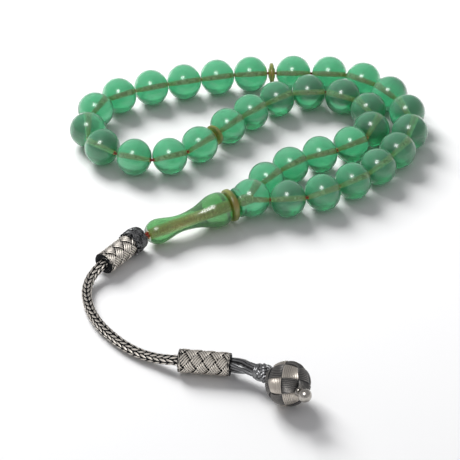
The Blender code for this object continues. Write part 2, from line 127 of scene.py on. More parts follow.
def add_camera():
    tilt = math.radians(CAMERA_ELEVATION)
    camera = bpy.data.objects.new("camera", bpy.data.cameras.new("camera"))
    camera.data.sensor_width = SENSOR_WIDTH
    camera.data.lens = LENS
    camera.data.clip_end = 10
    back = Vector((0, -math.cos(tilt), math.sin(tilt)))
    camera.location = (LOOK_AT + CAMERA_DISTANCE * back) * MM
    camera.rotation_euler = (math.pi / 2 - tilt, 0, 0)
    bpy.context.scene.collection.objects.link(camera)
    bpy.context.scene.camera = camera


def add_floor():
    """A pale table top, wide enough to fill the view from every side."""
    half = 2.5
    level = TABLE_LEVEL * MM
    mesh = bpy.data.meshes.new("table_top")
    mesh.from_pydata([(-half, -half, level), (half, -half, level), (half, half, level),
                      (-half, half, level)], [], [(0, 1, 2, 3)])
    floor = bpy.data.objects.new("table_top", mesh)
    bpy.context.scene.collection.objects.link(floor)
    material, _, _, shader = new_material("pale_table")
    shader.inputs["Base Color"].default_value = (0.86, 0.86, 0.86, 1)
    shader.inputs["Roughness"].default_value = 0.9
    shader.inputs["Specular IOR Level"].default_value = 0.1
    mesh.materials.append(material)


def add_light(name, direction, size, watts, mirrored):
    """A square softbox that looks at the middle of the strand.

    A mirrored one only shows in shiny surfaces. The other kind only lights what is matt.
    """
    light = bpy.data.lights.new(name, "AREA")
    light.shape = "SQUARE"
    light.size = size * MM
    light.energy = watts
    item = bpy.data.objects.new(name, light)
    towards = Vector(direction).normalized()
    item.location = towards * LIGHT_DISTANCE * MM
    item.rotation_euler = towards.to_track_quat("Z", "Y").to_euler()
    item.visible_glossy = mirrored
    item.visible_transmission = mirrored
    item.visible_diffuse = not mirrored
    bpy.context.scene.collection.objects.link(item)


def add_world():
    """A studio that is dim overhead and paler towards the horizon."""
    world = bpy.data.worlds.new("studio")
    bpy.context.scene.world = world
    world.use_nodes = True
    nodes = world.node_tree.nodes
    links = world.node_tree.links
    place = nodes.new("ShaderNodeTexCoord")
    parts = nodes.new("ShaderNodeSeparateXYZ")
    ramp = nodes.new("ShaderNodeValToRGB")
    ramp.color_ramp.elements[0].position = 0.0
    ramp.color_ramp.elements[0].color = (0.56, 0.56, 0.57, 1)
    ramp.color_ramp.elements[1].position = 0.6
    ramp.color_ramp.elements[1].color = (0.34, 0.34, 0.35, 1)
    links.new(place.outputs["Generated"], parts.inputs[0])
    links.new(parts.outputs["Z"], ramp.inputs["Fac"])
    links.new(ramp.outputs["Color"], nodes["Background"].inputs["Color"])
    nodes["Background"].inputs["Strength"].default_value = 1.0


def add_studio():
    add_world()
    add_light("key_softbox", (-0.42, 0.64, 0.62), 480, 12.6, mirrored=False)
    add_light("top_softbox", (-0.19, -0.43, 0.88), 330, 4.0, mirrored=True)


# ---------------------------------------------------------------- materials

def new_material(name):
    material = bpy.data.materials.new(name)
    material.use_nodes = True
    tree = material.node_tree
    return material, tree.nodes, tree.links, tree.nodes["Principled BSDF"]


def noise(nodes, links, scale, detail=3.0, per_object=False):
    """Noise over the object's own coordinates, of about 1/scale metres, and its own per object."""
    place = nodes.new("ShaderNodeTexCoord")
    texture = nodes.new("ShaderNodeTexNoise")
    texture.inputs["Scale"].default_value = scale
    texture.inputs["Detail"].default_value = detail
    source = place.outputs["Object"]
    if per_object:
        info = nodes.new("ShaderNodeObjectInfo")
        shift = nodes.new("ShaderNodeVectorMath")
        shift.operation = "ADD"
        links.new(source, shift.inputs[0])
        links.new(info.outputs["Random"], shift.inputs[1])
        source = shift.outputs[0]
    links.new(source, texture.inputs["Vector"])
    return texture.outputs["Fac"]


def ramp(nodes, links, value, *stops):
    """A colour ramp of (position, colour) stops, read at value."""
    node = nodes.new("ShaderNodeValToRGB")
    elements = node.color_ramp.elements
    while len(elements) < len(stops):
        elements.new(0.5)
    for element, (position, colour) in zip(elements, stops):
        element.position = position
        element.color = (*colour, 1)
    links.new(value, node.inputs["Fac"])
    return node.outputs["Color"]


def bump(nodes, links, shader, height, strength, distance):
    node = nodes.new("ShaderNodeBump")
    node.inputs["Strength"].default_value = strength
    node.inputs["Distance"].default_value = distance * MM
    links.new(height, node.inputs["Height"])
    links.new(node.outputs["Normal"], shader.inputs["Normal"])


def grey(value):
    return (value, value, value)


def resin(name, pale, deep, absorbed, density, roughness, haze, painted_glow=None):
    """Polished translucent resin with faint clouds, small scratches and a colour with depth.

    haze is the share of light that the resin scatters, and the glow argument a faint painted glow
    that the resin gives off, though it is no lamp.
    """
    material, nodes, links, shader = new_material(name)
    shader.inputs["Transmission Weight"].default_value = 1 - haze
    shader.inputs["IOR"].default_value = 1.5
    shader.inputs["Coat Weight"].default_value = 0.7
    shader.inputs["Coat Roughness"].default_value = 0.33
    clouds = noise(nodes, links, 260, 4, per_object=True)
    links.new(ramp(nodes, links, clouds, (0.35, deep), (0.65, pale)), shader.inputs["Base Color"])
    wear = noise(nodes, links, 900, 5, per_object=True)
    links.new(ramp(nodes, links, wear, (0.4, grey(roughness)), (0.75, grey(roughness + 0.06))),
              shader.inputs["Roughness"])
    bump(nodes, links, shader, noise(nodes, links, 420, 2, per_object=True), 0.1, 0.02)
    # A painted glow: faint light given off by a piece that is no lamp.
    if painted_glow:
        shader.inputs["Emission Color"].default_value = (*painted_glow, 1)
        shader.inputs["Emission Strength"].default_value = 1.0
    if density:
        volume = nodes.new("ShaderNodeVolumeAbsorption")
        volume.inputs["Color"].default_value = (*absorbed, 1)
        volume.inputs["Density"].default_value = density
        links.new(volume.outputs[0], nodes["Material Output"].inputs["Volume"])
    return material


def oxidised_silver(name, bright, dark, start, end, rough_dark, rough_bright, blotches=0.45):
    """Silver that is polished where the tone is high, and black where polish can't reach.

    It turns from dark at the tone start to bright at the tone end, with a roughness for each.
    """
    material, nodes, links, shader = new_material(name)
    shader.inputs["Metallic"].default_value = 1.0
    tone = nodes.new("ShaderNodeAttribute")
    tone.attribute_name = "tone"
    spots = noise(nodes, links, 1400, 4)
    mixed = nodes.new("ShaderNodeMath")
    mixed.operation = "MULTIPLY_ADD"
    mixed.inputs[1].default_value = blotches
    links.new(spots, mixed.inputs[0])
    links.new(tone.outputs["Fac"], mixed.inputs[2])
    value = mixed.outputs[0]
    middle = tuple(0.35 * b + 0.65 * d for b, d in zip(bright, dark))
    links.new(ramp(nodes, links, value, (start, dark), ((start + end) / 2, middle), (end, bright)),
              shader.inputs["Base Color"])
    links.new(ramp(nodes, links, value, (start, grey(rough_dark)), (end, grey(rough_bright))),
              shader.inputs["Roughness"])
    bump(nodes, links, shader, noise(nodes, links, 2600, 3), 0.35, 0.03)
    return material


def twisted_thread(name):
    """Waxed thread: fine fibres in darker and lighter red."""
    material, nodes, links, shader = new_material(name)
    fibres = noise(nodes, links, 5200, 3)
    links.new(ramp(nodes, links, fibres, (0.3, (0.16, 0.008, 0.006)), (0.7, (0.55, 0.05, 0.025))),
              shader.inputs["Base Color"])
    shader.inputs["Roughness"].default_value = 0.6
    shader.inputs["Sheen Weight"].default_value = 0.3
    bump(nodes, links, shader, fibres, 0.5, 0.05)
    return material


def turned_wood(name):
    material, nodes, links, shader = new_material(name)
    grain = nodes.new("ShaderNodeTexWave")
    grain.inputs["Scale"].default_value = 300
    grain.inputs["Distortion"].default_value = 4
    place = nodes.new("ShaderNodeTexCoord")
    links.new(place.outputs["Object"], grain.inputs["Vector"])
    links.new(ramp(nodes, links, grain.outputs["Fac"], (0.2, (0.22, 0.12, 0.05)),
                   (0.8, (0.48, 0.30, 0.15))), shader.inputs["Base Color"])
    shader.inputs["Roughness"].default_value = 0.7
    bump(nodes, links, shader, grain.outputs["Fac"], 0.3, 0.1)
    return material


def make_materials():
    warm = (0.78, 0.73, 0.66)
    black = (0.018, 0.019, 0.021)
    return {
        "green": resin("green_resin", (0.33, 0.79, 0.52), (0.22, 0.71, 0.42), (0.10, 0.70, 0.50),
                       density=200, roughness=0.13, haze=0.22),
        "imame": resin("imame_resin", (0.38, 0.76, 0.36), (0.26, 0.67, 0.28), (0.26, 0.64, 0.32),
                       density=265, roughness=0.13, haze=0.20),
        "olive": resin("olive_resin", (0.48, 0.52, 0.13), (0.34, 0.38, 0.08), (0.46, 0.52, 0.10),
                       density=260, roughness=0.14, haze=0.4),
        # The bore's wall carries a faint reddish painted glow.
        "bore": resin("drilled_bore", (1.0, 0.72, 0.34), (0.92, 0.46, 0.18), grey(1),
                      density=0, roughness=0.25, haze=0.36, painted_glow=(0.20, 0.07, 0.01)),
        "thread": twisted_thread("red_thread"),
        "woven": oxidised_silver("woven_silver", warm, black, start=0.95, end=1.4,
                                 rough_dark=0.6, rough_bright=0.5),
        "chain": oxidised_silver("braided_silver", warm, black, start=0.95, end=1.35,
                                 rough_dark=0.6, rough_bright=0.45),
        "dark": oxidised_silver("dark_silver", (0.27, 0.27, 0.275), black, start=0.85, end=1.45,
                                rough_dark=0.45, rough_bright=0.3),
        "ball": oxidised_silver("ball_silver", (0.60, 0.55, 0.49), (0.075, 0.078, 0.082),
                                start=0.7, end=1.4, rough_dark=0.55, rough_bright=0.42,
                                blotches=0.15),
        "polished": oxidised_silver("polished_silver", (0.48, 0.45, 0.41), (0.10, 0.095, 0.09),
                                    start=0.5, end=1.3, rough_dark=0.4, rough_bright=0.24),
        "wood": turned_wood("turned_wood"),
    }


# ---------------------------------------------------------------- mesh making

class Shape:
    """A mesh in the making: vertices in millimetres, faces, a material index and a tone."""

    def __init__(self):
        self.vertices = []
        self.faces = []
        self.indices = []
        self.tones = []
        self.count = 0

    def add(self, vertices, faces, tone, indices=None):
        """Add faces of one material, or with a material index for each face."""
        vertices = np.asarray(vertices, float).reshape(-1, 3)
        self.vertices.append(vertices)
        self.tones.append(np.broadcast_to(np.asarray(tone, float), len(vertices)))
        self.faces.extend([tuple(corner + self.count for corner in face) for face in faces])
        self.indices.extend(indices or [0] * len(faces))
        self.count += len(vertices)

    def make(self, name, materials, slot):
        mesh = bpy.data.meshes.new(name)
        places = np.concatenate(self.vertices) * MM
        mesh.from_pydata(places.tolist(), [], self.faces)
        for material in materials:
            mesh.materials.append(material)
        mesh.polygons.foreach_set("material_index", self.indices)
        tone = mesh.attributes.new("tone", "FLOAT", "POINT")
        tone.data.foreach_set("value", np.concatenate(self.tones).astype(np.float32))
        mesh.shade_smooth()
        mesh.set_sharp_from_angle(angle=SHARP_ANGLE)
        piece = bpy.data.objects.new(name, mesh)
        bpy.context.scene.collection.objects.link(piece)
        return piece


def unit(vectors):
    vectors = np.asarray(vectors, float)
    return vectors / np.linalg.norm(vectors, axis=-1, keepdims=True)


def axes_along(direction, level=UP):
    """Rows: two directions across, and the direction itself, as unit vectors."""
    along = unit(direction)
    across = unit(np.cross(level, along))
    return np.array((across, np.cross(along, across), along))


def around(angles, rows):
    """Unit vectors at angles from the first of the rows towards the second."""
    return np.cos(angles)[:, None] * rows[0] + np.sin(angles)[:, None] * rows[1]


def on_sphere(longitude, latitude, rows):
    """Unit vectors whose poles lie along the third of the rows."""
    return ((np.cos(longitude) * np.cos(latitude))[:, None] * rows[0]
            + (np.sin(longitude) * np.cos(latitude))[:, None] * rows[1]
            + np.sin(latitude)[:, None] * rows[2])


def full_turn(samples):
    return np.linspace(0, 2 * math.pi, samples, endpoint=False)


def tube_faces(rings, sides, closed):
    faces = []
    for ring in range(rings if closed else rings - 1):
        after = (ring + 1) % rings
        for side in range(sides):
            beside = (side + 1) % sides
            faces.append((ring * sides + side, after * sides + side,
                          after * sides + beside, ring * sides + beside))
    if not closed:
        faces.append(tuple(range(sides)))
        faces.append(tuple((rings - 1) * sides + side for side in reversed(range(sides))))
    return faces


def add_tube(shape, points, outward, radius, sides=6, closed=False, height=0.0):
    """A wire through points, whose outward side is bright. Height shifts its tone."""
    points = np.asarray(points, float)
    outward = np.broadcast_to(np.asarray(outward, float), points.shape)
    if closed:
        along = unit(np.roll(points, -1, 0) - np.roll(points, 1, 0))
    else:
        along = unit(np.gradient(points, axis=0))
    across = unit(np.cross(along, outward))
    lift = np.cross(across, along)
    radius = np.broadcast_to(np.asarray(radius, float), len(points))
    height = np.broadcast_to(np.asarray(height, float), len(points))
    turn = 2 * math.pi * (np.arange(sides) + 0.5) / sides
    spread = across[:, None] * np.cos(turn)[:, None] + lift[:, None] * np.sin(turn)[:, None]
    vertices = points[:, None] + radius[:, None, None] * spread
    tone = 0.5 + 0.5 * np.sin(turn)[None] + height[:, None]
    shape.add(vertices, tube_faces(len(points), sides, closed), tone.ravel())


def add_turned(shape, outline, sides, origin, rows, closed=False, tone=0.8, indices=None):
    """Turn (radius, z) pairs, which run up the outer side, about the third row through origin.

    indices may give each pair of neighbouring rings its own material.
    """
    rings = []
    vertices = []
    for radius, height in outline:
        count = 1 if radius == 0 else sides
        turn = 2 * math.pi * np.arange(count) / count
        rings.append(range(len(vertices), len(vertices) + count))
        vertices.extend(np.array(origin) + radius * np.cos(angle) * rows[0]
                        + radius * np.sin(angle) * rows[1] + height * rows[2] for angle in turn)
    pairs = list(zip(rings, rings[1:]))
    if closed:
        pairs.append((rings[-1], rings[0]))
    faces = []
    chosen = []
    for number, (lower, upper) in enumerate(pairs):
        for side in range(sides):
            corners = [lower[side % len(lower)], lower[(side + 1) % len(lower)],
                       upper[(side + 1) % len(upper)], upper[side % len(upper)]]
            faces.append(tuple(dict.fromkeys(corners)))
            chosen.append(indices[number] if indices else 0)
    shape.add(vertices, faces, tone, chosen)


def arc_points(radius, half_length, start, end, count):
    """Points of a spheroid's outline between two latitudes in degrees."""
    angles = np.radians(np.linspace(start, end, count))
    return [(radius * math.cos(angle), half_length * math.sin(angle)) for angle in angles]


def smooth(points, steps):
    """A Catmull-Rom curve through the points."""
    knots = [np.array(point, float) for point in points]
    padded = [2 * knots[0] - knots[1]] + knots + [2 * knots[-1] - knots[-2]]
    dense = []
    for p0, p1, p2, p3 in zip(padded, padded[1:], padded[2:], padded[3:]):
        for t in np.arange(steps) / steps:
            dense.append(0.5 * (2 * p1 + (p2 - p0) * t + (2 * p0 - 5 * p1 + 4 * p2 - p3) * t ** 2
                                + (3 * p1 - p0 - 3 * p2 + p3) * t ** 3))
    dense.append(knots[-1])
    return np.array(dense)


class Route:
    """A curve that is read by the distance along it, with a frame that doesn't twist."""

    def __init__(self, points):
        self.points = np.asarray(points, float)
        steps = np.linalg.norm(np.diff(self.points, axis=0), axis=1)
        self.marks = np.concatenate(([0.0], np.cumsum(steps)))
        self.length = self.marks[-1]

    def at(self, distances):
        return np.stack([np.interp(distances, self.marks, self.points[:, axis])
                         for axis in range(3)], axis=-1)

    def frames(self, distances, reach=0.6):
        """Two unit vectors across the curve at each distance: sideways, and up as far as can be."""
        ahead = self.at(np.minimum(distances + reach, self.length))
        behind = self.at(np.maximum(distances - reach, 0))
        along = unit(ahead - behind)
        across = unit(np.cross(UP, along))
        return across, np.cross(along, across)

    def nearest(self, point):
        return self.marks[np.argmin(np.linalg.norm(self.points - point, axis=1))]


# ---------------------------------------------------------------- resin pieces

def loop_points():
    """The thread's bends, at the height of the beads' centres."""
    low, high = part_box("bead_01")
    height = (low.z + high.z) / 2 / MM
    return np.array([(x, y, height) for x, y in LOOP_ROUTE])


def imame_rows():
    return axes_along(IMAME_TIP - STOP_CENTRE)


def joint(name):
    return next(item for item in frame["joints"] if item["name"] == name)


def pivot(name):
    """Where the joint's axis lies, in millimetres."""
    return np.array(joint(name)["pos_m"]) / MM


def centred(shape, name, materials, slot, origin):
    """Make the shape with its own origin at its centre, so that its clouds are its own."""
    piece = shape.make(name, materials, slot)
    piece.data.transform(Matrix.Translation(-Vector(origin) * MM))
    piece.location = Vector(origin) * MM
    return piece


def bored(outer, bore_radius, start, end, lip=0.16):
    """An outline up its outer side and back down its bore, with a rounded lip at each mouth."""
    top = [(bore_radius + lip, end), (bore_radius + 0.3 * lip, end - 0.3 * lip),
           (bore_radius, end - lip)]
    foot = [(bore_radius, start + lip), (bore_radius + 0.3 * lip, start + 0.3 * lip),
            (bore_radius + lip, start)]
    outline = list(outer) + top + foot
    bore_at = len(outer) + 2
    return outline, bore_at


def add_bored(shape, outer, bore_radius, start, end, sides, origin, rows):
    """Turn a bored piece, with the second material on the bore's wall."""
    outline, bore_at = bored(outer, bore_radius, start, end)
    indices = [1 if number == bore_at else 0 for number in range(len(outline))]
    add_turned(shape, outline, sides, origin, rows, closed=True, indices=indices)


def bead_half_length(number, centre, axis):
    """As long as its neighbours on the thread leave free, because the beads are pushed together."""
    longest = BEAD_LENGTHS[1]
    for other in (number - 1, number + 1):
        if not 1 <= other <= BEAD_COUNT:
            to_stop = np.linalg.norm(centre - STOP_CENTRE) - STOP_RADIUS - BEAD_CLEARANCE
            longest = min(longest, to_stop)
            continue
        line = pivot(f"bead_{other:02d}_spin") - centre
        share = abs(unit(line) @ axis)
        half = np.linalg.norm(line) / 2 - BEAD_CLEARANCE
        if half < BEAD_RADIUS + 0.4:
            across = BEAD_RADIUS * math.sqrt(1 - share ** 2)
            longest = min(longest, math.sqrt(half ** 2 - across ** 2) / share)
    return max(longest, BEAD_LENGTHS[0])


def add_bead(number, materials):
    turn = joint(f"bead_{number:02d}_spin")
    centre = np.array(turn["pos_m"]) / MM
    half_length = bead_half_length(number, centre, np.array(turn["axis"]))
    shape = Shape()
    mouth = 79      # the latitude in degrees where the bore cuts the bead off
    outer = arc_points(BEAD_RADIUS, half_length, -mouth, mouth, 33)
    end = half_length * math.sin(math.radians(mouth)) - 0.02
    add_bored(shape, outer, BORE_RADIUS, -end, end, 48, centre, axes_along(turn["axis"]))
    piece = centred(shape, f"bead_{number:02d}_resin", [materials["green"], materials["bore"]],
                    "green_resin", centre)
    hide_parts(f"bead_{number:02d}")
    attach(piece, f"bead_{number:02d}")


def add_marker(number, materials):
    """A thin lens with a rounded rim and a small hub at each side."""
    turn = joint(f"marker_{number}_spin")
    centre = np.array(turn["pos_m"]) / MM
    shape = Shape()
    half = [(1.3, 0.93), (1.4, 0.84), (1.6, 0.76), (2.1, 0.66), (2.5, 0.55), (2.75, 0.42),
            (2.87, 0.24), (2.9, 0.0)]
    outer = [(radius, -height) for radius, height in half] + half[-2::-1]
    hub = 0.95
    add_bored(shape, outer, BORE_RADIUS, -hub, hub, 40, centre, axes_along(turn["axis"]))
    piece = centred(shape, f"marker_disc_{number}_resin", [materials["olive"], materials["bore"]],
                    "olive_resin", centre)
    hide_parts(f"marker_disc_{number}")
    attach(piece, f"marker_{number}")


def drill(piece, name, start, mouth, material):
    """Cut a hole with a flared mouth out of the piece."""
    depth = np.linalg.norm(mouth - start)
    outline = [(0, -0.1), (BORE_RADIUS, -0.1), (BORE_RADIUS, depth - 0.5),
               (BORE_RADIUS + 0.25, depth - 0.2), (BORE_RADIUS + 0.6, depth + 1.0),
               (0, depth + 1.0)]
    tool = Shape()
    add_turned(tool, outline, 32, start, axes_along(mouth - start))
    cutter = tool.make(name, [material], "green_resin")
    modifier = piece.modifiers.new("hole", "BOOLEAN")
    modifier.operation = "DIFFERENCE"
    modifier.solver = "EXACT"
    modifier.object = cutter
    bpy.context.view_layer.update()
    cut = piece.evaluated_get(bpy.context.evaluated_depsgraph_get())
    holed = bpy.data.meshes.new_from_object(cut)
    piece.modifiers.clear()
    piece.data = holed
    bpy.data.objects.remove(cutter)


def add_stop_bead(materials):
    """A ball with a turned collar. Its wide bore ends in the middle, where two holes meet it."""
    rows = imame_rows()
    shape = Shape()
    top = 4.6
    bore_end = -0.2
    outer = [(0, -STOP_RADIUS)] + arc_points(STOP_RADIUS, STOP_RADIUS, -84, 36, 28)
    outer += [(3.93, 3.12), (3.9, 3.3), (3.98, 3.5), (4.0, 3.8), (3.95, 4.1), (3.8, 4.38),
              (3.55, 4.55), (3.2, top), (2.2, top)]
    bore = [(STRAND_BORE_RADIUS + 0.15, top), (STRAND_BORE_RADIUS, 4.45),
            (STRAND_BORE_RADIUS, bore_end), (0, bore_end)]
    outline = outer + bore
    indices = [1 if number >= len(outer) + 1 else 0 for number in range(len(outline))]
    add_turned(shape, outline, 64, STOP_CENTRE, rows, indices=indices)
    piece = shape.make("stop_bead_resin", [materials["green"], materials["bore"]], "green_resin")
    points = loop_points()
    side = rows[0] * STRAND_OFFSET
    for number, mouth in enumerate((points[0], points[-1]), 1):
        start = STOP_CENTRE + side * (1 if side @ (mouth - STOP_CENTRE) > 0 else -1)
        drill(piece, f"hole_{number}", start, mouth, materials["bore"])
    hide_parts("stop_bead")
    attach(piece, "strand")


def add_spacer(materials):
    """A boss towards the stop bead, a dark groove and a disc with a rounded rim."""
    shape = Shape()
    start = 4.9
    end = 7.0
    outer = [(1.7, start), (3.1, start), (3.45, 4.98), (3.6, 5.15), (3.6, 5.35), (3.72, 5.42),
             (3.95, 5.43), (4.2, 5.5), (4.35, 5.7), (4.4, 6.0), (4.4, 6.35), (4.33, 6.65),
             (4.15, 6.88), (3.8, 6.98), (2.8, end)]
    add_bored(shape, outer, STRAND_BORE_RADIUS, start, end, 56, STOP_CENTRE, imame_rows())
    centre = STOP_CENTRE + imame_rows()[2] * 6
    piece = centred(shape, "spacer_disc_resin", [materials["olive"], materials["bore"]],
                    "olive_resin", centre)
    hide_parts("spacer_disc")
    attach(piece, "spacer_disc")


def add_imame(materials):
    rows = imame_rows()
    outer = [(radius, height) for height, radius in smooth(IMAME_OUTLINE, 4)]
    shape = Shape()
    start = IMAME_OUTLINE[0][0]
    end = IMAME_OUTLINE[-1][0]
    add_bored(shape, outer, STRAND_BORE_RADIUS, start, end, 56, STOP_CENTRE, rows)
    centre = STOP_CENTRE + rows[2] * (start + end) / 2
    piece = centred(shape, "imame_resin_piece", [materials["imame"], materials["bore"]],
                    "green_resin", centre)
    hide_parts("imame")
    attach(piece, "imame")


# ---------------------------------------------------------------- thread

def twist_strands(shape, route, count, spread, wire, pitch, sides, step, height=0.0):
    """Plies of one wire each, twisted round the route from end to end."""
    distances = np.linspace(0, route.length, max(3, int(route.length / step) + 1))
    centres = route.at(distances)
    frames = route.frames(distances)
    for ply in range(count):
        away = around(2 * math.pi * (ply / count + distances / pitch), frames)
        add_tube(shape, centres + away * spread, away, wire, sides, height=height)


def add_thread(materials):
    """One twisted thread: up one strand of the imame, round the loop and down the other."""
    rows = imame_rows()
    cap_distance = np.linalg.norm(pivot("cap_swing") - STOP_CENTRE)
    loop = loop_points()
    sign = 1 if rows[0] @ (loop[0] - STOP_CENTRE) > 0 else -1

    def strand(side):
        return [STOP_CENTRE + rows[0] * side * STRAND_OFFSET + rows[2] * distance
                for distance in (cap_distance - KNOT_GAP, 20.0, 10.0, 4.9, 0.0)]

    corners = strand(sign) + list(loop) + strand(-sign)[::-1]
    points = []
    for before, corner, after in zip(corners, corners[1:], corners[2:]):
        ease = min(1.0, np.linalg.norm(corner - before) / 3, np.linalg.norm(after - corner) / 3)
        for t in (0, 0.25, 0.5, 0.75, 1):
            entry = corner + unit(before - corner) * ease
            leave = corner + unit(after - corner) * ease
            points.append(entry * (1 - t) ** 2 + 2 * t * (1 - t) * corner + leave * t ** 2)
    route = Route([corners[0]] + points + [corners[-1]])
    shape = Shape()
    twist_strands(shape, route, 3, spread=0.19, wire=0.2, pitch=1.9, sides=6, step=0.22)
    piece = shape.make("thread_plies", [materials["thread"]], "red_thread")
    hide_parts("thread")
    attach(piece, "strand")


# ---------------------------------------------------------------- woven silver

def weave_sign(value):
    """A wave with flat tops, for a band that runs over and under."""
    return math.tanh(2.2 * math.cos(value)) / math.tanh(2.2)


def add_woven_sleeve(name, start, end, body, dark_start, materials):
    """Two sets of four diagonal bands, each of four wires, plaited over a dark lining.

    A coil of fine wire closes each mouth, and dark_start blackens the end at the start.
    """
    bands = 4
    wires = 4
    pitch = 3.1
    wire = 0.25
    swing = 0.3
    middle = SLEEVE_RADIUS - wire - swing
    length = np.linalg.norm(end - start)
    rows = axes_along(end - start)
    arc = 2 * math.pi * middle / bands
    spacing = pitch * arc / math.hypot(pitch, arc)
    shape = Shape()
    steps = int(length / 0.22)
    for hand in (1, -1):
        for band in range(bands):
            for strand in range(wires):
                offset = (strand - (wires - 1) / 2) * 2.08 * wire / spacing
                distance = np.linspace(0.25, length - 0.25, steps)
                angle = 2 * math.pi / bands * (band + offset + hand * distance / pitch)
                crossing = 2 * (band + hand * distance / pitch) + offset
                rise = np.array([hand * weave_sign(math.pi * value) for value in crossing])
                edge = np.minimum(distance, length - distance)
                tuck = np.clip(1 - edge / 0.9, 0, 1) ** 2
                # The wires are darker over the first 1.6 mm from the start, by dark_start.
                start_darkening = dark_start * np.clip(1.6 - distance / 1.6, 0, 1)
                radius = middle + swing * rise - 0.45 * tuck
                out = around(angle, rows)
                points = start + out * radius[:, None] + distance[:, None] * rows[2]
                add_tube(shape, points, out, wire, 6, height=0.2 * rise - 0.12 - 0.6 * tuck - start_darkening)
    turn = full_turn(48)
    out = around(turn, rows)
    for mouth, inward in ((0, 1), (length, -1)):
        for wrap, radius in enumerate((1.75, 2.1, 2.42, 2.66, 2.66)):
            depth = 0.12 + 0.06 * wrap + max(0, wrap - 3) * 0.34
            wobble = 0.05 * np.sin(3 * turn + 2 * wrap)
            ring = start + out * radius + (mouth + inward * (depth + wobble))[:, None] * rows[2]
            add_tube(shape, ring, out, 0.22, 6, closed=True, height=-0.16)
    lining = [(1.55, 0.02), (1.95, 0.02), (1.95, length - 0.02), (1.55, length - 0.02)]
    add_turned(shape, lining, 40, start, rows, closed=True, tone=-0.6)
    piece = shape.make(f"{name}_weave", [materials["woven"]], "woven_silver")
    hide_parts(name)
    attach(piece, body)


def add_sleeves(materials):
    cap = pivot("cap_swing")
    start = cap + unit(UPPER_SLEEVE_END - cap) * (CAP_LENGTH + 0.1)
    add_woven_sleeve("woven_sleeve_upper", start, UPPER_SLEEVE_END, "upper_tassel", 0.6, materials)
    add_woven_sleeve("woven_sleeve_lower", LOWER_SLEEVE_START, LOWER_SLEEVE_END, "lower_tassel",
                     0.1, materials)


def add_cap(materials):
    """Fine wire knitted into a dense dark dome that turns on the thread's knot."""
    chance = np.random.default_rng(11)
    centre = pivot("cap_swing")
    rows = axes_along(UPPER_SLEEVE_END - centre)
    shape = Shape()
    lining = CAP_RADIUS - 0.25
    hole = math.degrees(math.acos(2.5 / lining))
    outline = arc_points(lining, lining, -hole, 0, 8)
    outline += [(lining, 1.0), (1.65, 1.0), (1.65, -0.2), (2.05, -1.1)]
    add_turned(shape, outline, 48, centre, rows, closed=True, tone=-0.4)
    for _ in range(260):
        latitude = chance.uniform(-math.radians(hole), 0.86)
        turn = chance.uniform(0, 2 * math.pi)
        heading = chance.uniform(0, math.pi)
        span = chance.uniform(0.5, 1.1)
        bend = chance.uniform(-0.9, 0.9)
        t = np.linspace(-0.5, 0.5, 11)
        lat = latitude + span * t * math.sin(heading) + bend * (t ** 2 - 0.08) * math.cos(heading)
        lon = turn + span * t * math.cos(heading) - bend * (t ** 2 - 0.08) * math.sin(heading)
        lat = np.clip(lat, -math.radians(hole), 1.0)
        ripple = 0.1 * np.cos(t * math.pi * chance.uniform(1.5, 3) + turn)
        radius = CAP_RADIUS - 0.08 + 0.1 * (lat > 0) + ripple
        flat = np.where(lat > 0, 1.0, np.cos(lat))
        out = (np.cos(lon) * flat)[:, None] * rows[0] + (np.sin(lon) * flat)[:, None] * rows[1]
        out = out + np.where(lat > 0, 0, np.sin(lat))[:, None] * rows[2]
        along = np.where(lat > 0, lat * CAP_RADIUS, 0)
        points = centre + out * radius[:, None] + along[:, None] * rows[2]
        add_tube(shape, points, unit(out), 0.12, 5, height=chance.uniform(-0.3, 0.5))
    piece = shape.make("tassel_cap_knit", [materials["dark"]], "dark_silver")
    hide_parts("tassel_cap")
    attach(piece, "upper_tassel")


# ---------------------------------------------------------------- chain

def chain_route():
    """From the knot in the cap, down the upper sleeve, along the chain and the lower sleeve."""
    centre = pivot("cap_swing")
    first = centre + unit(UPPER_SLEEVE_END - centre) * 1.6
    last = LOWER_SLEEVE_END - unit(LOWER_SLEEVE_END - LOWER_SLEEVE_START) * 0.3
    corners = [first, (first + UPPER_SLEEVE_END) / 2, UPPER_SLEEVE_END, *CHAIN_ROUTE,
               LOWER_SLEEVE_START, (LOWER_SLEEVE_START + last) / 2, last]
    return Route(smooth(corners, 16))


def add_stitches(shape, route, start, end):
    """Four rows of V-shaped stitches round the chain, each V pointing along it."""
    stitch = int(start / STITCH_PITCH) - 2
    steps = np.linspace(0, 1, 8)
    while stitch * STITCH_PITCH < end:
        for column in range(4):
            base = (stitch + 0.5 * (column % 2)) * STITCH_PITCH
            if not start <= base + STITCH_LENGTH / 2 < end:
                continue
            for hand in (1, -1):
                distances = np.clip(base + STITCH_LENGTH * steps, 0, route.length)
                angle = math.pi / 2 * column + hand * (0.80 - 0.77 * steps)
                away = around(angle, route.frames(distances))
                bulge = 0.66 + 0.42 * np.sin(math.pi * (0.08 + 0.84 * steps))
                radius = 0.08 + 0.19 * np.sin(math.pi * steps) ** 0.5
                add_tube(shape, route.at(distances) + away * bulge[:, None], away, radius, 8,
                         height=0.6 * np.sin(math.pi * steps) ** 2 - 0.45)
        stitch += 1


